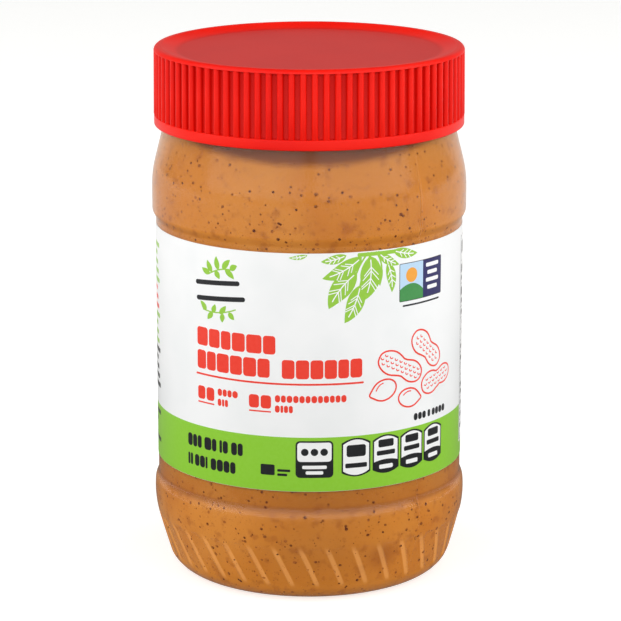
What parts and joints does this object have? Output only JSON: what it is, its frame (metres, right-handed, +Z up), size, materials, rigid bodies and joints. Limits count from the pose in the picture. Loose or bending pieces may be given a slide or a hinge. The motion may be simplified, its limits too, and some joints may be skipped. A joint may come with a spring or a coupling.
{
  "type": "peanut butter jar",
  "caption": "Round clear plastic jar of peanut butter with a ribbed red screw cap, a white and green wrap label and slanted flutes round its heel.",
  "frame": {"origin": "centre of the ring that the jar stands on, at the surface it stands on", "axes": "+Z up along the jar's axis; -Y towards the front of the label; +X to the right as seen from the front"},
  "size_m": [0.0732, 0.0732, 0.1247],
  "materials": {
    "clear_plastic": "clear blown plastic, glossy",
    "peanut_butter": "smooth tan paste with small dark brown flecks",
    "cap_plastic": "red moulded plastic, satin",
    "label_film": "white printed film with a green band, semi-gloss"
  },
  "bodies": {
    "root": {"jar": "clear_plastic", "peanut_butter": "peanut_butter", "lid": "cap_plastic", "label": "label_film"}
  },
  "joints": []
}
